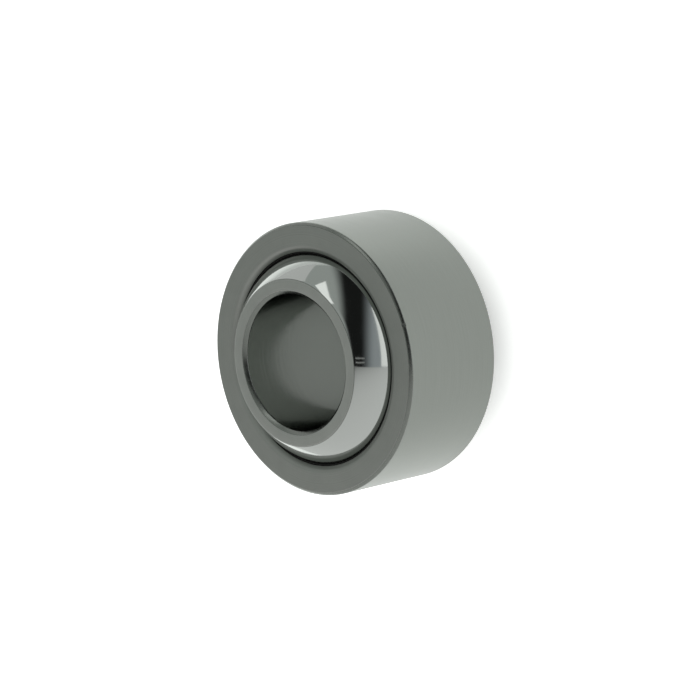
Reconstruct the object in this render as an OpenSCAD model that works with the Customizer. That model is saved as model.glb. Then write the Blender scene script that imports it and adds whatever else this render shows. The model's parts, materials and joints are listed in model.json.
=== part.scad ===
// Spherical plain bearing: a ball-shaped inner ring that swivels on a sliding liner,
// which is bonded into the race of an outer ring closed round the ball.
// The bore axis is Z and the origin is the centre of the ball. At rest the bearing
// stands on the lower end face of its inner ring.

/* [Inner ring] */
// Bore, the diameter of the shaft
bore_d = 20; // [14:0.5:22]
// Diameter of the ball's sliding surface
ball_d = 34.9; // [33.5:0.1:36.5]
// Width of the inner ring across its end faces
inner_w = 25; // [21:0.5:26]
// Chamfer at both ends of the bore
bore_chamfer = 0.55; // [0.2:0.05:0.8]

/* [Outer ring] */
// Wall of the outer ring at mid width, from the race to the outside diameter
outer_wall = 2.25; // [1.5:0.05:6]
// Width of the outer ring across its side faces
outer_w = 18; // [14:0.5:20]
// Chamfer on both edges of the outside diameter
outer_chamfer = 0.45; // [0.2:0.05:1]
// Chamfer at both mouths of the race
mouth_chamfer = 0.65; // [0.3:0.05:1.2]

/* [Sliding liner] */
// Thickness of the liner
liner_t = 0.25; // [0.2:0.01:0.5]
// Depth of the liner's edges below the mouth chamfers
liner_setback = 0.1; // [0.1:0.1:2]

/* [Fits] */
// Radial running clearance between the ball and the liner
running_clearance = 0.03; // [0.01:0.01:0.1]
// Thickness of the adhesive film between the liner and the race
bond_line = 0.02; // [0.01:0.01:0.05]

/* [Hidden] */
$fn = 180;

// The ball, both faces of the liner and the race are spheres about the one swivel centre,
// and the outside diameter lies one wall outside the race: 40 mm, the size of the housing's bore.
bore_r = bore_d / 2;
ball_r = ball_d / 2;
liner_inner_r = ball_r + running_clearance;
liner_outer_r = liner_inner_r + liner_t;
race_r = liner_outer_r + bond_line;
outer_r = race_r + outer_wall;

// Half widths, measured from the swivel centre along the bore axis
inner_end = inner_w / 2;
outer_side = outer_w / 2;
race_end = outer_side - mouth_chamfer;
liner_end = race_end - liner_setback;

// Radius of the race's mouth, at the foot and at the head of its chamfer
mouth_r = sqrt(race_r * race_r - race_end * race_end);
mouth_head_r = mouth_r + mouth_chamfer;

// Blank of the outer ring in half section. The cones of both mouth chamfers run on to where
// they meet at mid width, inside the sphere that the race then cuts away.
module outer_blank_section() {
    polygon([
        [mouth_head_r - outer_side, 0],
        [mouth_head_r, outer_side],
        [outer_r - outer_chamfer, outer_side],
        [outer_r, outer_side - outer_chamfer],
        [outer_r, outer_chamfer - outer_side],
        [outer_r - outer_chamfer, -outer_side],
        [mouth_head_r, -outer_side]
    ]);
}

// Blank of the inner ring in half section, bored and faced, with the ball still to be turned
module inner_blank_section() {
    polygon([
        [bore_r, bore_chamfer - inner_end],
        [bore_r, inner_end - bore_chamfer],
        [bore_r + bore_chamfer, inner_end],
        [ball_d, inner_end],
        [ball_d, -inner_end],
        [bore_r + bore_chamfer, -inner_end]
    ]);
}

// Steel ring, swaged round the lined ball in one piece, so that its race is a closed zone of a sphere
module outer_ring() {
    color("#8b8f8a")
    rotate_extrude()
    difference() {
        outer_blank_section();
        circle(r = race_r);
    }
}

// Woven sliding liner, a thin zone of a spherical shell that stops short of both mouths
module liner() {
    color("#2b2a27")
    rotate_extrude()
    difference() {
        intersection() {
            circle(r = liner_outer_r);
            translate([0, -liner_end]) square([ball_d, 2 * liner_end]);
        }
        circle(r = liner_inner_r);
    }
}

// Ball with two flat end faces and a through bore, polished where it slides
module inner_ring() {
    color("#c3c6c3")
    rotate_extrude()
    intersection() {
        inner_blank_section();
        circle(r = ball_r);
    }
}

outer_ring();
liner();
inner_ring();
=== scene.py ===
"""Spherical plain bearing: a polished ball that swivels on a woven liner in a ground outer ring.

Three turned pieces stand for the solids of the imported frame, with broken edges and machined
finishes, in a plain studio. The bore axis is Z and the origin is the centre of the ball.
Lengths are in metres.
"""

import json
import math

import bmesh
import bpy
from mathutils import Matrix, Vector


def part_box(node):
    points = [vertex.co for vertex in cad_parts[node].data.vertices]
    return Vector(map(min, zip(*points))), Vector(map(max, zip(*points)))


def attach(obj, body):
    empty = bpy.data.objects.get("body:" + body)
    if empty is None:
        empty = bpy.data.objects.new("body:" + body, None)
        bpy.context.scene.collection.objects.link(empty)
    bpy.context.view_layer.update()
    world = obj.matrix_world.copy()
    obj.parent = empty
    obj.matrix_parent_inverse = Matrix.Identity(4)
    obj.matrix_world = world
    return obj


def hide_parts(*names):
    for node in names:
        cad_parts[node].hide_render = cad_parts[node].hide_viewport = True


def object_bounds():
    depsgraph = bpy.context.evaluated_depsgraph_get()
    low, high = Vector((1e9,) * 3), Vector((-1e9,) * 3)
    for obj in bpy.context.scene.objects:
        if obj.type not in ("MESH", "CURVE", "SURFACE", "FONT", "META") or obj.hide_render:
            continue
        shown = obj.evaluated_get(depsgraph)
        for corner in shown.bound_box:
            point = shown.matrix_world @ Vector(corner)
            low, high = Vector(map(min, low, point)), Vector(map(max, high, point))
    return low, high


bl_info = {
    "name": "Spherical Plain Bearing",
    "version": (1, 0, 0),
    "blender": (4, 5, 0),
    "location": "3D View > Sidebar > Bearing",
    "description": "Models a lined spherical plain bearing with its machined finishes",
    "category": "Add Mesh",
}

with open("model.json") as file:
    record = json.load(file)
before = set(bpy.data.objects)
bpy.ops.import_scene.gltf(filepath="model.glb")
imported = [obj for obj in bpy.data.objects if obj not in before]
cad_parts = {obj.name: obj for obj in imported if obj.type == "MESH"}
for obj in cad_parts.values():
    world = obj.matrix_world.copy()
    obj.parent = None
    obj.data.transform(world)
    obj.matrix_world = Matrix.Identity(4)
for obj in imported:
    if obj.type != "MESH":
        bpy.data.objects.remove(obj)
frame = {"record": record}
CAD_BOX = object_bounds()

MM = 0.001

# The frame gives what the solids measure, and the record's mounts give the two fitted diameters.
OUTER_LOW, OUTER_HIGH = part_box("outer_ring")
INNER_LOW, INNER_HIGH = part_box("inner_ring")
MOUNTS = {mount["name"]: mount["dims"] for mount in frame["record"]["mounts"]}
OUTSIDE_DIAMETER = 2 * MOUNTS["outside_diameter"]["r_mm"] * MM
BORE_DIAMETER = 2 * MOUNTS["bore"]["r_mm"] * MM

# A face looks squarely in a direction if its normal has more than this share along it.
SQUARELY = 0.95


def linear_rgb(hex_colour):
    """Turns an sRGB hex colour into the linear values that shaders take."""
    channels = [int(hex_colour[start : start + 2], 16) / 255 for start in (1, 3, 5)]
    return [c / 12.92 if c <= 0.04045 else ((c + 0.055) / 1.055) ** 2.4 for c in channels]


class BearingSizes(bpy.types.PropertyGroup):
    """Sizes of the three pieces."""

    outside_diameter: bpy.props.FloatProperty(
        name="Outside Diameter",
        description="Diameter of the ground outside of the outer ring",
        default=OUTSIDE_DIAMETER,
        unit="LENGTH",
        precision=5,
    )
    outer_width: bpy.props.FloatProperty(
        name="Outer Width",
        description="Width of the outer ring across its side faces",
        default=OUTER_HIGH.z - OUTER_LOW.z,
        unit="LENGTH",
        precision=5,
    )
    outer_chamfer: bpy.props.FloatProperty(
        name="Outer Chamfer",
        description="Chamfer on both edges of the outside diameter",
        default=0.45 * MM,
        unit="LENGTH",
        precision=5,
    )
    mouth_chamfer: bpy.props.FloatProperty(
        name="Mouth Chamfer",
        description="Chamfer at both mouths of the race",
        default=0.65 * MM,
        unit="LENGTH",
        precision=5,
    )
    ball_diameter: bpy.props.FloatProperty(
        name="Ball Diameter",
        description="Diameter of the polished sliding surface",
        default=34.9 * MM,
        unit="LENGTH",
        precision=5,
    )
    inner_width: bpy.props.FloatProperty(
        name="Inner Width",
        description="Width of the inner ring across its end faces",
        default=INNER_HIGH.z - INNER_LOW.z,
        unit="LENGTH",
        precision=5,
    )
    bore_diameter: bpy.props.FloatProperty(
        name="Bore Diameter",
        description="Diameter of the shaft that fits the inner ring",
        default=BORE_DIAMETER,
        unit="LENGTH",
        precision=5,
    )
    bore_chamfer: bpy.props.FloatProperty(
        name="Bore Chamfer",
        description="Chamfer at both ends of the bore",
        default=0.55 * MM,
        unit="LENGTH",
        precision=5,
    )
    running_clearance: bpy.props.FloatProperty(
        name="Running Clearance",
        description="Radial gap between the ball and the liner",
        default=0.03 * MM,
        unit="LENGTH",
        precision=5,
    )
    liner_thickness: bpy.props.FloatProperty(
        name="Liner Thickness",
        description="Thickness of the woven liner",
        default=0.25 * MM,
        unit="LENGTH",
        precision=5,
    )
    liner_setback: bpy.props.FloatProperty(
        name="Liner Setback",
        description="Depth of the liner's edges below the mouth chamfers",
        default=0.1 * MM,
        unit="LENGTH",
        precision=5,
    )
    bond_line: bpy.props.FloatProperty(
        name="Bond Line",
        description="Thickness of the adhesive film behind the liner",
        default=0.02 * MM,
        unit="LENGTH",
        precision=5,
    )
    edge_break: bpy.props.FloatProperty(
        name="Edge Break",
        description="Width of the small round left on every machined edge",
        default=0.1 * MM,
        unit="LENGTH",
        precision=5,
    )
    tumbled_round: bpy.props.FloatProperty(
        name="Tumbled Round",
        description="Width of the round that tumbling leaves on the edges of the outer chamfers",
        default=0.15 * MM,
        unit="LENGTH",
        precision=5,
    )
    mouth_round: bpy.props.FloatProperty(
        name="Mouth Round",
        description="Width of the round between each mouth chamfer and its side face",
        default=0.4 * MM,
        unit="LENGTH",
        precision=5,
    )
    turn_steps: bpy.props.IntProperty(
        name="Turn Steps",
        description="Faces round each turned piece",
        default=288,
        min=48,
    )
    arc_steps: bpy.props.IntProperty(
        name="Arc Steps",
        description="Faces along each spherical arc of a section",
        default=48,
        min=8,
    )


class BearingFinishes(bpy.types.PropertyGroup):
    """Colours of the finishes."""

    ground_colour: bpy.props.FloatVectorProperty(
        name="Ground Steel",
        description="Colour of the ground outside diameter",
        default=linear_rgb("#878b86"),
        subtype="COLOR",
    )
    faced_colour: bpy.props.FloatVectorProperty(
        name="Faced Steel",
        description="Colour of the outer ring's flat side faces and of its mouths",
        default=linear_rgb("#929590"),
        subtype="COLOR",
    )
    end_colour: bpy.props.FloatVectorProperty(
        name="Faced Ball",
        description="Colour of the inner ring's flat end faces",
        default=linear_rgb("#a0a39e"),
        subtype="COLOR",
    )
    edge_colour: bpy.props.FloatVectorProperty(
        name="Chamfered Steel",
        description="Colour of the outer and bore chamfers, the race and the broken edges",
        default=linear_rgb("#747873"),
        subtype="COLOR",
    )
    polished_colour: bpy.props.FloatVectorProperty(
        name="Polished Ball",
        description="Colour of the polished sliding surface",
        default=linear_rgb("#abafab"),
        subtype="COLOR",
    )
    bore_colour: bpy.props.FloatVectorProperty(
        name="Honed Bore",
        description="Colour of the bore",
        default=linear_rgb("#b6bab5"),
        subtype="COLOR",
    )
    liner_colour: bpy.props.FloatVectorProperty(
        name="Liner",
        description="Colour of the liner's dark threads",
        default=linear_rgb("#0e0d0c"),
        subtype="COLOR",
    )


class BearingStage(bpy.types.PropertyGroup):
    """Camera and studio."""

    view_azimuth: bpy.props.FloatProperty(
        name="View Azimuth",
        description="Turn of the camera round the bore axis",
        default=math.radians(7.92),
        subtype="ANGLE",
    )
    view_elevation: bpy.props.FloatProperty(
        name="View Elevation",
        description="Height of the camera above the side faces",
        default=math.radians(44.865),
        subtype="ANGLE",
    )
    view_roll: bpy.props.FloatProperty(
        name="View Roll",
        description="Turn about the line of sight, which lays the bore axis across the picture",
        default=math.radians(-101.089),
        subtype="ANGLE",
    )
    view_distance: bpy.props.FloatProperty(
        name="View Distance",
        description="Distance of the camera from the centre of the ball",
        default=463.55 * MM,
        unit="LENGTH",
    )
    focal_length: bpy.props.FloatProperty(
        name="Focal Length",
        description="Focal length of the lens in millimetres",
        default=162.4,
        unit="CAMERA",
    )
    floor_radius: bpy.props.FloatProperty(
        name="Floor Radius",
        description="Radius of the pale floor",
        default=2.5,
        unit="LENGTH",
    )
    floor_colour: bpy.props.FloatVectorProperty(
        name="Floor",
        description="Colour of the floor",
        default=linear_rgb("#f4f5f4"),
        subtype="COLOR",
    )
    room_colour: bpy.props.FloatVectorProperty(
        name="Room",
        description="Colour of the soft light from behind the bearing",
        default=linear_rgb("#c2c6c4"),
        subtype="COLOR",
    )
    far_colour: bpy.props.FloatVectorProperty(
        name="Far Wall",
        description="Colour of the cooler light from the right-hand side",
        default=linear_rgb("#b1b6bb"),
        subtype="COLOR",
    )


def line_to(shape, last, radius, height):
    """Draws a section on, in a straight line, to a radius and a height."""
    drawn = bmesh.ops.extrude_vert_indiv(shape, verts=[last])["verts"][0]
    drawn.co = (radius, 0.0, height)
    return drawn


def arc_to(shape, last, height, steps):
    """Draws a section on, along a circle about the centre of the ball, to a height."""
    radius = last.co.length
    sweep = math.asin(height / radius) - math.asin(last.co.z / radius)
    drawn = bmesh.ops.spin(
        shape, geom=[last], axis=(0.0, -1.0, 0.0), cent=(0.0, 0.0, 0.0), angle=sweep, steps=steps
    )
    return next(item for item in drawn["geom_last"] if isinstance(item, bmesh.types.BMVert))


def sphere_radius_at(radius, height):
    """Distance from the bore axis to a sphere about the origin at a height."""
    return math.sqrt(radius**2 - height**2)


def turn_section(shape, first, last, sizes):
    """Closes a section and turns it once round the bore axis."""
    seam_gap = 0.001 * MM
    shape.edges.new((last, first))
    bmesh.ops.spin(
        shape,
        geom=shape.verts[:] + shape.edges[:],
        axis=(0.0, 0.0, 1.0),
        cent=(0.0, 0.0, 0.0),
        angle=math.tau,
        steps=sizes.turn_steps,
        use_merge=True,
    )
    bmesh.ops.remove_doubles(shape, verts=shape.verts[:], dist=seam_gap)
    bmesh.ops.recalc_face_normals(shape, faces=shape.faces[:])


def break_edges(shape, width, beyond=0.0):
    """Rounds every sharp edge that lies further from the bore axis than given."""
    sharp_angle = math.radians(20)
    sharp = [
        edge
        for edge in shape.edges
        if edge.calc_face_angle(0.0) > sharp_angle and edge.verts[0].co.xy.length > beyond
    ]
    bmesh.ops.bevel(
        shape,
        geom=sharp,
        offset=width,
        offset_type="OFFSET",
        affect="EDGES",
        segments=4,
        profile=0.5,
        material=-1,
    )


def knock_chamfer(shape, place, width, depth):
    """Presses a nick into a chamfer, deepest at a place on it and as wide as given round the ring.

    Three cuts across the chamfer mark its middle and its ends, and the points on the middle cut go in.
    """
    outward = Vector((place.x, place.y, 0.0)).normalized()
    round_ring = Vector((-outward.y, outward.x, 0.0))
    pressed = -(outward + Vector((0.0, 0.0, math.copysign(1.0, place.z)))).normalized()
    reach = 0.36 * MM
    beside_cut = 0.01 * MM
    for shift in (-width / 2, 0.0, width / 2):
        faces = [face for face in shape.faces if (face.calc_center_median() - place).length < 2 * reach]
        edges = {edge for face in faces for edge in face.edges}
        verts = {vert for face in faces for vert in face.verts}
        bmesh.ops.bisect_plane(
            shape,
            geom=[*verts, *edges, *faces],
            dist=0.0001 * MM,
            plane_co=place + round_ring * shift,
            plane_no=round_ring,
        )
    for vert in shape.verts:
        offset = vert.co - place
        if abs(offset.dot(round_ring)) < beside_cut and offset.length < reach:
            vert.co += pressed * depth * (1.0 - offset.length / reach)


def make_object(name, shape, materials):
    """Makes a shape an object of the scene, with its materials."""
    mesh = bpy.data.meshes.new(name)
    shape.to_mesh(mesh)
    shape.free()
    for material in materials:
        mesh.materials.append(material)
    made = bpy.data.objects.new(name, mesh)
    bpy.context.scene.collection.objects.link(made)
    return made


def finish_piece(name, shape, materials, finish_of):
    """Makes a turned shape a piece, with a finish on each face and normals that keep its flats flat."""
    for face in shape.faces:
        face.smooth = True
        face.material_index = finish_of(face)
    piece = make_object(name, shape, materials)
    piece.modifiers.new("flat_normals", "WEIGHTED_NORMAL").keep_sharp = True
    with bpy.context.temp_override(object=piece, active_object=piece):
        bpy.ops.object.modifier_apply(modifier="flat_normals")
    return piece


def outward_slope(face):
    """How far a face looks out from the bore axis: 1 straight out, 0 along it, -1 straight in."""
    centre = face.calc_center_median()
    away = Vector((centre.x, centre.y, 0.0)).normalized()
    return face.normal.dot(away)


def add_node(tree, kind, settings=(), inputs=()):
    """Adds a node with its settings, and with a value or a link on each named input."""
    node = tree.nodes.new(kind)
    for name, value in dict(settings).items():
        setattr(node, name, value)
    for socket, value in dict(inputs).items():
        if isinstance(value, bpy.types.NodeSocket):
            tree.links.new(value, node.inputs[socket])
        else:
            node.inputs[socket].default_value = value
    return node


def blank_material(name):
    """A new material with an empty node tree."""
    material = bpy.data.materials.new(name)
    material.use_nodes = True
    material.node_tree.nodes.clear()
    return material


def distance_from_axis(tree, place):
    """Works out each point's distance from the bore axis."""
    flat = add_node(
        tree,
        "ShaderNodeVectorMath",
        settings={"operation": "MULTIPLY"},
        inputs={0: place, 1: (1.0, 1.0, 0.0)},
    ).outputs["Vector"]
    return add_node(
        tree, "ShaderNodeVectorMath", settings={"operation": "LENGTH"}, inputs={0: flat}
    ).outputs["Value"]


def marks_round_axis(tree, place, pitch, length, detail, roughness=0.5):
    """Draws tool marks that run round the bore axis, about a pitch apart along it and a length long."""
    stretched = add_node(
        tree,
        "ShaderNodeMapping",
        inputs={"Vector": place, "Scale": (1 / length, 1 / length, 1 / pitch)},
    ).outputs["Vector"]
    return add_node(
        tree,
        "ShaderNodeTexNoise",
        inputs={"Vector": stretched, "Scale": 1.0, "Detail": detail, "Roughness": roughness},
    ).outputs["Fac"]


def ground_steel(finishes):
    """Bearing steel, centreless ground on the outside diameter.

    The wheel leaves fine marks that run round the ring, so a reflection smears along the bore axis
    and the satin surface shows faint hoops that are a little lighter or darker.
    """
    material = blank_material("bearing_steel_centreless_ground")
    tree = material.node_tree
    # Real marks are about 0.02 mm apart. They are drawn ten times as coarse, so that they show.
    mark_pitch = 0.2 * MM
    mark_length = 9 * MM
    place = add_node(tree, "ShaderNodeTexCoord").outputs["Object"]
    marks = marks_round_axis(tree, place, mark_pitch, mark_length, detail=4.0, roughness=0.6)
    shade = add_node(
        tree,
        "ShaderNodeMapRange",
        inputs={"Value": marks, "From Min": 0.3, "From Max": 0.7, "To Min": 0.96, "To Max": 1.04},
    ).outputs["Result"]
    tone = add_node(
        tree,
        "ShaderNodeMix",
        settings={"data_type": "RGBA", "blend_type": "MULTIPLY"},
        inputs={"Factor": 1.0, "A": (*finishes.ground_colour, 1.0), "B": shade},
    ).outputs["Result"]
    gloss = add_node(
        tree,
        "ShaderNodeMapRange",
        inputs={"Value": marks, "From Min": 0.3, "From Max": 0.7, "To Min": 0.3, "To Max": 0.38},
    ).outputs["Result"]
    relief = add_node(
        tree,
        "ShaderNodeBump",
        inputs={"Height": marks, "Strength": 0.12, "Distance": 0.01 * MM},
    ).outputs["Normal"]
    round_axis = add_node(
        tree, "ShaderNodeTangent", settings={"direction_type": "RADIAL", "axis": "Z"}
    ).outputs["Tangent"]
    steel = add_node(
        tree,
        "ShaderNodeBsdfPrincipled",
        inputs={
            "Base Color": tone,
            "Metallic": 1.0,
            "Roughness": gloss,
            "Anisotropic": 0.75,
            "Anisotropic Rotation": 0.25,
            "Tangent": round_axis,
            "Normal": relief,
        },
    )
    add_node(tree, "ShaderNodeOutputMaterial", inputs={"Surface": steel.outputs["BSDF"]})
    return material


def faced_steel(name, colour):
    """Bearing steel, faced on the lathe and lapped dull.

    The flats are matt and a shade darker than the ground outside, with faint rings from the tool
    and soft patches from handling.
    """
    material = blank_material(name)
    tree = material.node_tree
    # The feed of a facing tool is about 0.05 mm. It is drawn three times as coarse, so that it shows.
    feed = 0.15 * MM
    patch = 2.5 * MM
    place = add_node(tree, "ShaderNodeTexCoord").outputs["Object"]
    rings = add_node(
        tree,
        "ShaderNodeTexNoise",
        settings={"noise_dimensions": "1D"},
        inputs={"W": distance_from_axis(tree, place), "Scale": 1 / feed, "Detail": 2.0},
    ).outputs["Fac"]
    patches = add_node(
        tree,
        "ShaderNodeTexNoise",
        inputs={"Vector": place, "Scale": 1 / patch, "Detail": 5.0, "Roughness": 0.6},
    ).outputs["Fac"]
    mixed = add_node(
        tree, "ShaderNodeMath", settings={"operation": "ADD"}, inputs={0: rings, 1: patches}
    ).outputs["Value"]
    shade = add_node(
        tree,
        "ShaderNodeMapRange",
        inputs={"Value": mixed, "From Min": 0.7, "From Max": 1.3, "To Min": 0.92, "To Max": 1.06},
    ).outputs["Result"]
    tone = add_node(
        tree,
        "ShaderNodeMix",
        settings={"data_type": "RGBA", "blend_type": "MULTIPLY"},
        inputs={"Factor": 1.0, "A": (*colour, 1.0), "B": shade},
    ).outputs["Result"]
    gloss = add_node(
        tree,
        "ShaderNodeMapRange",
        inputs={"Value": patches, "From Min": 0.3, "From Max": 0.7, "To Min": 0.38, "To Max": 0.48},
    ).outputs["Result"]
    relief = add_node(
        tree,
        "ShaderNodeBump",
        inputs={"Height": rings, "Strength": 0.15, "Distance": 0.01 * MM},
    ).outputs["Normal"]
    steel = add_node(
        tree,
        "ShaderNodeBsdfPrincipled",
        inputs={
            "Base Color": tone,
            "Metallic": 1.0,
            "Roughness": gloss,
            "Normal": relief,
        },
    )
    add_node(tree, "ShaderNodeOutputMaterial", inputs={"Surface": steel.outputs["BSDF"]})
    return material


def chamfered_steel(finishes):
    """Bearing steel, turned on the chamfers and tumbled along the edges.

    It is smoother than the flats, so a narrow edge mirrors the light or the dark side of the room
    as a thin line, with faint scuffs where it has been knocked.
    """
    material = blank_material("bearing_steel_turned")
    tree = material.node_tree
    scuff = 0.8 * MM
    place = add_node(tree, "ShaderNodeTexCoord").outputs["Object"]
    scuffs = add_node(
        tree,
        "ShaderNodeTexNoise",
        inputs={"Vector": place, "Scale": 1 / scuff, "Detail": 4.0, "Roughness": 0.65},
    ).outputs["Fac"]
    shade = add_node(
        tree,
        "ShaderNodeMapRange",
        inputs={"Value": scuffs, "From Min": 0.35, "From Max": 0.7, "To Min": 0.96, "To Max": 1.05},
    ).outputs["Result"]
    tone = add_node(
        tree,
        "ShaderNodeMix",
        settings={"data_type": "RGBA", "blend_type": "MULTIPLY"},
        inputs={"Factor": 1.0, "A": (*finishes.edge_colour, 1.0), "B": shade},
    ).outputs["Result"]
    gloss = add_node(
        tree,
        "ShaderNodeMapRange",
        inputs={"Value": scuffs, "From Min": 0.3, "From Max": 0.7, "To Min": 0.2, "To Max": 0.3},
    ).outputs["Result"]
    relief = add_node(
        tree,
        "ShaderNodeBump",
        inputs={"Height": scuffs, "Strength": 0.05, "Distance": 0.01 * MM},
    ).outputs["Normal"]
    steel = add_node(
        tree,
        "ShaderNodeBsdfPrincipled",
        inputs={
            "Base Color": tone,
            "Metallic": 1.0,
            "Roughness": gloss,
            "Normal": relief,
        },
    )
    add_node(tree, "ShaderNodeOutputMaterial", inputs={"Surface": steel.outputs["BSDF"]})
    return material


def polished_ball(finishes):
    """Bearing steel, hardened, polished and hard-chromed on the sliding surface.

    It is a near mirror, with faint hoops from polishing and a light film from handling that
    softens the edges of what it reflects.
    """
    material = blank_material("hard_chrome_polished")
    tree = material.node_tree
    # Polishing lines are far finer than this. They are drawn 0.12 mm apart, so that they show.
    line_pitch = 0.12 * MM
    line_length = 14 * MM
    film = 5 * MM
    place = add_node(tree, "ShaderNodeTexCoord").outputs["Object"]
    lines = marks_round_axis(tree, place, line_pitch, line_length, detail=3.0)
    smears = add_node(
        tree,
        "ShaderNodeTexNoise",
        inputs={"Vector": place, "Scale": 1 / film, "Detail": 4.0, "Roughness": 0.6},
    ).outputs["Fac"]
    gloss = add_node(
        tree,
        "ShaderNodeMapRange",
        inputs={"Value": smears, "From Min": 0.3, "From Max": 0.7, "To Min": 0.05, "To Max": 0.1},
    ).outputs["Result"]
    relief = add_node(
        tree,
        "ShaderNodeBump",
        inputs={"Height": lines, "Strength": 0.04, "Distance": 0.005 * MM},
    ).outputs["Normal"]
    chrome = add_node(
        tree,
        "ShaderNodeBsdfPrincipled",
        inputs={
            "Base Color": (*finishes.polished_colour, 1.0),
            "Metallic": 1.0,
            "Roughness": gloss,
            "Normal": relief,
        },
    )
    add_node(tree, "ShaderNodeOutputMaterial", inputs={"Surface": chrome.outputs["BSDF"]})
    return material


def honed_bore(finishes):
    """Bearing steel, honed in the bore.

    The stones turn faster than they stroke, so their fine scratches run nearly round the bore and
    leave a satin wall that shades softly from light to dark.
    """
    material = blank_material("bearing_steel_honed")
    tree = material.node_tree
    # Honing scratches are about 0.02 mm apart. They are drawn ten times as coarse, so that they show.
    scratch_pitch = 0.2 * MM
    scratch_length = 6 * MM
    place = add_node(tree, "ShaderNodeTexCoord").outputs["Object"]
    scratches = marks_round_axis(tree, place, scratch_pitch, scratch_length, detail=3.0)
    gloss = add_node(
        tree,
        "ShaderNodeMapRange",
        inputs={"Value": scratches, "From Min": 0.3, "From Max": 0.7, "To Min": 0.13, "To Max": 0.19},
    ).outputs["Result"]
    relief = add_node(
        tree,
        "ShaderNodeBump",
        inputs={"Height": scratches, "Strength": 0.12, "Distance": 0.01 * MM},
    ).outputs["Normal"]
    # Scratches shade one another where the wall is seen at a shallow angle, and its reflections go dark.
    # This dark tint is painted shade for that.
    shallow_painted_shade = (0.25, 0.25, 0.25, 1.0)
    steel = add_node(
        tree,
        "ShaderNodeBsdfPrincipled",
        inputs={
            "Base Color": (*finishes.bore_colour, 1.0),
            "Metallic": 1.0,
            "Specular Tint": shallow_painted_shade,
            "Roughness": gloss,
            "Normal": relief,
        },
    )
    add_node(tree, "ShaderNodeOutputMaterial", inputs={"Surface": steel.outputs["BSDF"]})
    return material


def woven_liner(finishes):
    """Fluoropolymer and polyester threads, woven and set in dark resin.

    The cloth is dull and almost black, with a fine over-and-under weave.
    """
    material = blank_material("ptfe_fabric_woven")
    tree = material.node_tree
    thread_spacing = 0.5 * MM
    wrap_radius = OUTSIDE_DIAMETER / 2
    place = add_node(tree, "ShaderNodeTexCoord").outputs["Object"]
    axes = add_node(tree, "ShaderNodeSeparateXYZ", inputs={"Vector": place})
    angle = add_node(
        tree,
        "ShaderNodeMath",
        settings={"operation": "ARCTAN2"},
        inputs={0: axes.outputs["Y"], 1: axes.outputs["X"]},
    ).outputs["Value"]
    warp_turns = add_node(
        tree,
        "ShaderNodeMath",
        settings={"operation": "MULTIPLY"},
        inputs={0: angle, 1: round(math.pi * wrap_radius / thread_spacing)},
    ).outputs["Value"]
    weft_turns = add_node(
        tree,
        "ShaderNodeMath",
        settings={"operation": "MULTIPLY"},
        inputs={0: axes.outputs["Z"], 1: math.pi / thread_spacing},
    ).outputs["Value"]
    warp = add_node(
        tree, "ShaderNodeMath", settings={"operation": "SINE"}, inputs={0: warp_turns}
    ).outputs["Value"]
    weft = add_node(
        tree, "ShaderNodeMath", settings={"operation": "SINE"}, inputs={0: weft_turns}
    ).outputs["Value"]
    weave = add_node(
        tree, "ShaderNodeMath", settings={"operation": "MULTIPLY"}, inputs={0: warp, 1: weft}
    ).outputs["Value"]
    shade = add_node(
        tree,
        "ShaderNodeMapRange",
        inputs={"Value": weave, "From Min": -1.0, "From Max": 1.0, "To Min": 0.6, "To Max": 1.4},
    ).outputs["Result"]
    tone = add_node(
        tree,
        "ShaderNodeMix",
        settings={"data_type": "RGBA", "blend_type": "MULTIPLY"},
        inputs={"Factor": 1.0, "A": (*finishes.liner_colour, 1.0), "B": shade},
    ).outputs["Result"]
    relief = add_node(
        tree,
        "ShaderNodeBump",
        inputs={"Height": weave, "Strength": 0.6, "Distance": 0.05 * MM},
    ).outputs["Normal"]
    cloth = add_node(
        tree,
        "ShaderNodeBsdfPrincipled",
        inputs={
            "Base Color": tone,
            "Roughness": 0.75,
            "IOR": 1.38,
            "Normal": relief,
        },
    )
    add_node(tree, "ShaderNodeOutputMaterial", inputs={"Surface": cloth.outputs["BSDF"]})
    return material


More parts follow.
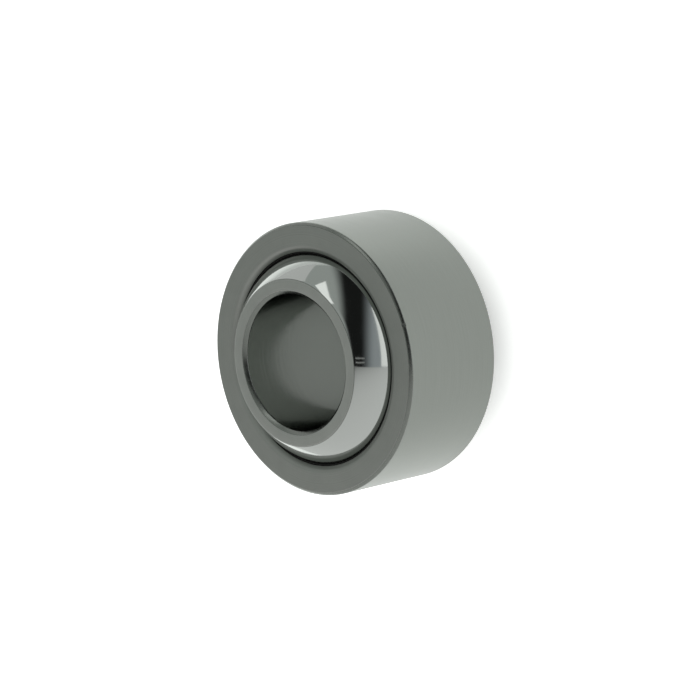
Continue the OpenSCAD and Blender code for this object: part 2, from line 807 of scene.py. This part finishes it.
class BEARING_OT_outer_ring(bpy.types.Operator):
    """Turns the outer ring, with its closed race, its chamfers and its ground outside"""

    bl_idname = "bearing.outer_ring"
    bl_label = "Outer Ring"

    def execute(self, context):
        sizes = context.scene.bearing_sizes
        finishes = context.scene.bearing_finishes
        outside = sizes.outside_diameter / 2
        side = sizes.outer_width / 2
        chamfer = sizes.outer_chamfer
        race = sizes.ball_diameter / 2 + sizes.running_clearance + sizes.liner_thickness + sizes.bond_line
        race_end = side - sizes.mouth_chamfer
        mouth = sphere_radius_at(race, race_end)
        mouth_head = mouth + sizes.mouth_chamfer

        shape = bmesh.new()
        first = shape.verts.new((mouth, 0.0, -race_end))
        last = arc_to(shape, first, race_end, sizes.arc_steps)
        last = line_to(shape, last, mouth_head, side)
        last = line_to(shape, last, outside - chamfer, side)
        last = line_to(shape, last, outside, side - chamfer)
        last = line_to(shape, last, outside, chamfer - side)
        last = line_to(shape, last, outside - chamfer, -side)
        last = line_to(shape, last, mouth_head, -side)
        turn_section(shape, first, last, sizes)
        break_edges(shape, sizes.tumbled_round, beyond=outside - 2 * chamfer)
        break_edges(shape, sizes.mouth_round, beyond=mouth + sizes.mouth_chamfer / 2)
        break_edges(shape, sizes.edge_break)
        # The photo shows one nick in the upper chamfer, on the side that faces the camera.
        nick_turn = math.radians(-75.5)
        nick = Matrix.Rotation(nick_turn, 3, "Z") @ Vector((outside - chamfer / 2, 0.0, side - chamfer / 2))
        knock_chamfer(shape, nick, width=0.4 * MM, depth=0.3 * MM)

        ground, faced, turned = range(3)

        def finish_of(face):
            if outward_slope(face) > SQUARELY:
                return ground
            in_mouth = outward_slope(face) < 0.0 and face.normal.z * face.calc_center_median().z > 0.0
            if in_mouth or abs(face.normal.z) > SQUARELY:
                return faced
            return turned

        materials = [
            ground_steel(finishes),
            faced_steel("bearing_steel_faced", finishes.faced_colour),
            chamfered_steel(finishes),
        ]
        piece = finish_piece("outer_ring_ground", shape, materials, finish_of)
        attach(piece, "lined_ring")
        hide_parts("outer_ring")
        return {"FINISHED"}


class BEARING_OT_liner(bpy.types.Operator):
    """Lays the woven liner into the race, short of both mouths"""

    bl_idname = "bearing.liner"
    bl_label = "Liner"

    def execute(self, context):
        sizes = context.scene.bearing_sizes
        inside = sizes.ball_diameter / 2 + sizes.running_clearance
        outside = inside + sizes.liner_thickness
        edge = sizes.outer_width / 2 - sizes.mouth_chamfer - sizes.liner_setback

        shape = bmesh.new()
        first = shape.verts.new((sphere_radius_at(inside, edge), 0.0, -edge))
        last = arc_to(shape, first, edge, sizes.arc_steps)
        last = line_to(shape, last, sphere_radius_at(outside, edge), edge)
        last = arc_to(shape, last, -edge, sizes.arc_steps)
        turn_section(shape, first, last, sizes)
        break_edges(shape, sizes.edge_break)

        materials = [woven_liner(context.scene.bearing_finishes)]
        piece = finish_piece("liner_woven", shape, materials, lambda face: 0)
        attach(piece, "lined_ring")
        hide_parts("liner")
        return {"FINISHED"}


class BEARING_OT_inner_ring(bpy.types.Operator):
    """Turns the inner ring: a polished ball with two flat end faces and a through bore"""

    bl_idname = "bearing.inner_ring"
    bl_label = "Inner Ring"

    def execute(self, context):
        sizes = context.scene.bearing_sizes
        finishes = context.scene.bearing_finishes
        ball = sizes.ball_diameter / 2
        bore = sizes.bore_diameter / 2
        end = sizes.inner_width / 2
        chamfer = sizes.bore_chamfer

        shape = bmesh.new()
        first = shape.verts.new((bore, 0.0, chamfer - end))
        last = line_to(shape, first, bore, end - chamfer)
        last = line_to(shape, last, bore + chamfer, end)
        last = line_to(shape, last, sphere_radius_at(ball, end), end)
        last = arc_to(shape, last, -end, sizes.arc_steps)
        last = line_to(shape, last, bore + chamfer, -end)
        turn_section(shape, first, last, sizes)
        break_edges(shape, sizes.edge_break)

        polished, faced, honed, turned = range(4)
        # The ball leans less than this along the bore axis, and the rounds at its rims lean more.
        rim_lean = 0.75

        def finish_of(face):
            if abs(face.normal.z) > SQUARELY:
                return faced
            if outward_slope(face) < -SQUARELY:
                return honed
            if outward_slope(face) < 0.0 or abs(face.normal.z) > rim_lean:
                return turned
            return polished

        materials = [
            polished_ball(finishes),
            faced_steel("bearing_steel_end_faced", finishes.end_colour),
            honed_bore(finishes),
            chamfered_steel(finishes),
        ]
        piece = finish_piece("inner_ring_polished", shape, materials, finish_of)
        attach(piece, "ball")
        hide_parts("inner_ring")
        return {"FINISHED"}


def card_glow(name, upright, reach, level, end_level):
    """White cloth, lit from behind, which fades from one level at its middle to another at its ends."""
    material = blank_material(name)
    tree = material.node_tree
    place = add_node(tree, "ShaderNodeTexCoord").outputs["Object"]
    height = add_node(
        tree,
        "ShaderNodeVectorMath",
        settings={"operation": "DOT_PRODUCT"},
        inputs={0: place, 1: upright},
    ).outputs["Value"]
    offset = add_node(
        tree, "ShaderNodeMath", settings={"operation": "ABSOLUTE"}, inputs={0: height}
    ).outputs["Value"]
    strength = add_node(
        tree,
        "ShaderNodeMapRange",
        inputs={"Value": offset, "From Max": reach, "To Min": level, "To Max": end_level},
    ).outputs["Result"]
    glow = add_node(tree, "ShaderNodeEmission", inputs={"Strength": strength})
    add_node(tree, "ShaderNodeOutputMaterial", inputs={"Surface": glow.outputs["Emission"]})
    return material


def studio_card(name, toward, size, along, level, end_level=None, distance=0.6):
    """A flat card that faces the bearing, unseen by the camera.

    It glows at one level all over or, where an end level is given, fades to that at both ends.
    """
    if end_level is None:
        end_level = level
    facing = Vector(toward).normalized()
    upright = Vector(along)
    upright = (upright - upright.dot(facing) * facing).normalized()
    across = upright.cross(facing)
    turned = Matrix((across, upright, facing)).transposed().to_4x4()
    shape = bmesh.new()
    bmesh.ops.create_grid(shape, x_segments=1, y_segments=1, size=0.5)
    bmesh.ops.scale(shape, vec=(size[0], size[1], 1.0), verts=shape.verts[:])
    bmesh.ops.transform(shape, matrix=Matrix.Translation(facing * distance) @ turned, verts=shape.verts[:])
    card = make_object(name, shape, [card_glow(name, upright, size[1] / 2, level, end_level)])
    card.visible_camera = False


def room_light(stage):
    """A world that is pale behind the bearing, cooler to its right and dark in a band between them.

    The dark band runs up past the camera. The polished ball and the chamfers that face the camera
    show it. Where each light starts and is full is a share along the direction across the band.
    """
    world = bpy.data.worlds.new("studio")
    world.use_nodes = True
    tree = world.node_tree
    tree.nodes.clear()
    across_band = (0.099, 0.683, 0.724)
    pale_start, pale_full = 0.13, 0.29
    cool_start, cool_full = -0.08, -0.32
    band_level = 0.03
    direction = add_node(tree, "ShaderNodeTexCoord").outputs["Generated"]
    side = add_node(
        tree,
        "ShaderNodeVectorMath",
        settings={"operation": "DOT_PRODUCT"},
        inputs={0: direction, 1: across_band},
    ).outputs["Value"]
    behind = add_node(
        tree,
        "ShaderNodeMapRange",
        settings={"interpolation_type": "SMOOTHSTEP"},
        inputs={"Value": side, "From Min": pale_start, "From Max": pale_full, "To Min": band_level},
    ).outputs["Result"]
    far_right = add_node(
        tree,
        "ShaderNodeMapRange",
        settings={"interpolation_type": "SMOOTHSTEP"},
        inputs={"Value": side, "From Min": cool_start, "From Max": cool_full},
    ).outputs["Result"]
    pale = add_node(
        tree, "ShaderNodeBackground", inputs={"Color": (*stage.room_colour, 1.0), "Strength": behind}
    ).outputs["Background"]
    cool = add_node(
        tree, "ShaderNodeBackground", inputs={"Color": (*stage.far_colour, 1.0), "Strength": far_right}
    ).outputs["Background"]
    both = add_node(tree, "ShaderNodeAddShader", inputs={0: pale, 1: cool})
    add_node(tree, "ShaderNodeOutputWorld", inputs={"Surface": both.outputs["Shader"]})
    return world


def pale_floor(stage):
    """Board, painted white, which reads as white and still takes the bearing's shadow.

    It glows to the camera and to reflections, and how much it glows is painted light: more behind the
    bearing than on its right, a painted falloff that lights both ends of the ground outside, less under the
    bearing as a painted shadow, and less far away as a painted falloff.
    """
    material = blank_material("board_painted_white")
    tree = material.node_tree
    # Painted shadow and painted falloff of light: each change of level has the two places between which it
    # happens, and the level at its darker end.
    right, behind, painted_falloff_right = -32 * MM, -6 * MM, 0.64
    under, clear, painted_shadow_level = 10 * MM, 24 * MM, 0.2
    near, far, painted_falloff_far = 90 * MM, 300 * MM, 0.5
    place = add_node(tree, "ShaderNodeTexCoord").outputs["Object"]
    side = add_node(tree, "ShaderNodeSeparateXYZ", inputs={"Vector": place}).outputs["Y"]
    # Painted falloff of light: the glow is dimmer on the bearing's right than behind it.
    level = add_node(
        tree,
        "ShaderNodeMapRange",
        settings={"interpolation_type": "SMOOTHSTEP"},
        inputs={"Value": side, "From Min": right, "From Max": behind, "To Min": painted_falloff_right},
    ).outputs["Result"]
    radius = distance_from_axis(tree, place)
    # Painted shadow: the glow is dimmed under the bearing.
    painted_shadow_under = add_node(
        tree,
        "ShaderNodeMapRange",
        settings={"interpolation_type": "SMOOTHSTEP"},
        inputs={"Value": radius, "From Min": under, "From Max": clear, "To Min": painted_shadow_level},
    ).outputs["Result"]
    # Painted falloff of light: the glow dims far from the bearing.
    painted_fading = add_node(
        tree,
        "ShaderNodeMapRange",
        settings={"interpolation_type": "SMOOTHSTEP"},
        inputs={"Value": radius, "From Min": near, "From Max": far, "To Min": 1.0, "To Max": painted_falloff_far},
    ).outputs["Result"]
    rays = add_node(tree, "ShaderNodeLightPath").outputs
    glow_level = rays["Is Camera Ray"]
    for ray in ("Is Glossy Ray", "Is Transmission Ray"):
        glow_level = add_node(
            tree, "ShaderNodeMath", settings={"operation": "MAXIMUM"}, inputs={0: glow_level, 1: rays[ray]}
        ).outputs["Value"]
    for share in (level, painted_shadow_under, painted_fading):
        glow_level = add_node(
            tree, "ShaderNodeMath", settings={"operation": "MULTIPLY"}, inputs={0: glow_level, 1: share}
        ).outputs["Value"]
    paint = add_node(
        tree,
        "ShaderNodeBsdfPrincipled",
        inputs={
            "Base Color": (*stage.floor_colour, 1.0),
            "Roughness": 0.9,
            "Emission Color": (*stage.floor_colour, 1.0),
            "Emission Strength": glow_level,
        },
    )
    add_node(tree, "ShaderNodeOutputMaterial", inputs={"Surface": paint.outputs["BSDF"]})
    return material


def lay_floor(stage):
    """Lays a round floor just under the bearing."""
    clear_of_part = 0.02 * MM
    floor_height = CAD_BOX[0].z - clear_of_part
    shape = bmesh.new()
    bmesh.ops.create_circle(shape, cap_ends=True, segments=96, radius=stage.floor_radius)
    bmesh.ops.translate(shape, vec=(0.0, 0.0, floor_height), verts=shape.verts[:])
    floor = make_object("floor", shape, [pale_floor(stage)])


def hang_cards():
    """Hangs the cards that light the steel and show in the polished ball.

    X is up in the picture, -Y is its right-hand side and Z is the bore axis.
    """
    studio_card(
        "softbox",
        toward=(0.656, 0.755, 0.05),
        size=(0.534, 0.4),
        along=(0, 0, 1),
        level=0.84,
    )
    studio_card(
        "lamp",
        toward=(0.863, -0.012, 0.504),
        size=(0.1, 0.29),
        along=(-0.146, -0.27, 0.25),
        level=1.6,
    )
    studio_card(
        "window",
        toward=(0.27, -0.955, 0.13),
        size=(0.23, 0.64),
        along=(0.577, 0.208, -0.087),
        level=1.35,
    )
    studio_card(
        "table",
        toward=(-1.0, 0.0, 0.0),
        size=(0.9, 1.2),
        along=(0, 0, 1),
        level=1.0,
        end_level=0.1,
        distance=0.1,
    )
    # Two narrow slats show as thin lines in the dark part of what the ball mirrors.
    slats = {"slat_upper": (-0.025, -0.754, 0.656), "slat_lower": (-0.094, -0.747, 0.658)}
    for name, toward in slats.items():
        studio_card(name, toward, size=(0.012, 0.12), along=(0.02, 0.129, 0.149), level=0.45)


def place_camera(stage):
    """Places the camera at the photo's viewing angle and with its framing."""
    camera = bpy.data.objects.new("camera", bpy.data.cameras.new("camera"))
    bpy.context.scene.collection.objects.link(camera)
    camera.data.lens = stage.focal_length
    # The picture shows the bearing a few pixels right of and below its middle.
    picture_width = 700
    pixels_right, pixels_down = 3.45, 1.3
    camera.data.shift_x = -pixels_right / picture_width
    camera.data.shift_y = pixels_down / picture_width
    camera.matrix_world = (
        Matrix.Rotation(stage.view_azimuth, 4, "Z")
        @ Matrix.Rotation(math.pi / 2 - stage.view_elevation, 4, "X")
        @ Matrix.Translation((0.0, 0.0, stage.view_distance))
        @ Matrix.Rotation(stage.view_roll, 4, "Z")
    )
    return camera


class BEARING_OT_stage(bpy.types.Operator):
    """Sets the floor, the studio light and the camera"""

    bl_idname = "bearing.stage"
    bl_label = "Stage"

    def execute(self, context):
        scene = context.scene
        stage = scene.bearing_stage
        scene.view_settings.view_transform = "Standard"
        lay_floor(stage)
        hang_cards()
        scene.world = room_light(stage)
        scene.camera = place_camera(stage)
        return {"FINISHED"}


class BEARING_PT_panel(bpy.types.Panel):
    """Lists the pieces, the stage and what can be set."""

    bl_idname = "BEARING_PT_panel"
    bl_label = "Spherical Plain Bearing"
    bl_space_type = "VIEW_3D"
    bl_region_type = "UI"
    bl_category = "Bearing"

    def draw(self, context):
        layout = self.layout
        scene = context.scene
        for operator in OPERATORS:
            layout.operator(operator.bl_idname)
        for group in (scene.bearing_sizes, scene.bearing_finishes, scene.bearing_stage):
            column = layout.column(align=True)
            for name in group.__annotations__:
                column.prop(group, name)


OPERATORS = (
    BEARING_OT_outer_ring,
    BEARING_OT_liner,
    BEARING_OT_inner_ring,
    BEARING_OT_stage,
)
CLASSES = (BearingSizes, BearingFinishes, BearingStage, *OPERATORS, BEARING_PT_panel)


def register():
    """Registers the classes and gives the scene its settings."""
    for cls in CLASSES:
        bpy.utils.register_class(cls)
    bpy.types.Scene.bearing_sizes = bpy.props.PointerProperty(type=BearingSizes)
    bpy.types.Scene.bearing_finishes = bpy.props.PointerProperty(type=BearingFinishes)
    bpy.types.Scene.bearing_stage = bpy.props.PointerProperty(type=BearingStage)


def unregister():
    """Takes the settings and the classes away again."""
    del bpy.types.Scene.bearing_stage
    del bpy.types.Scene.bearing_finishes
    del bpy.types.Scene.bearing_sizes
    for cls in reversed(CLASSES):
        bpy.utils.unregister_class(cls)


def main():
    """Makes the pieces and the stage."""
    register()
    bpy.ops.bearing.outer_ring()
    bpy.ops.bearing.liner()
    bpy.ops.bearing.inner_ring()
    bpy.ops.bearing.stage()


if __name__ == "__main__":
    main()
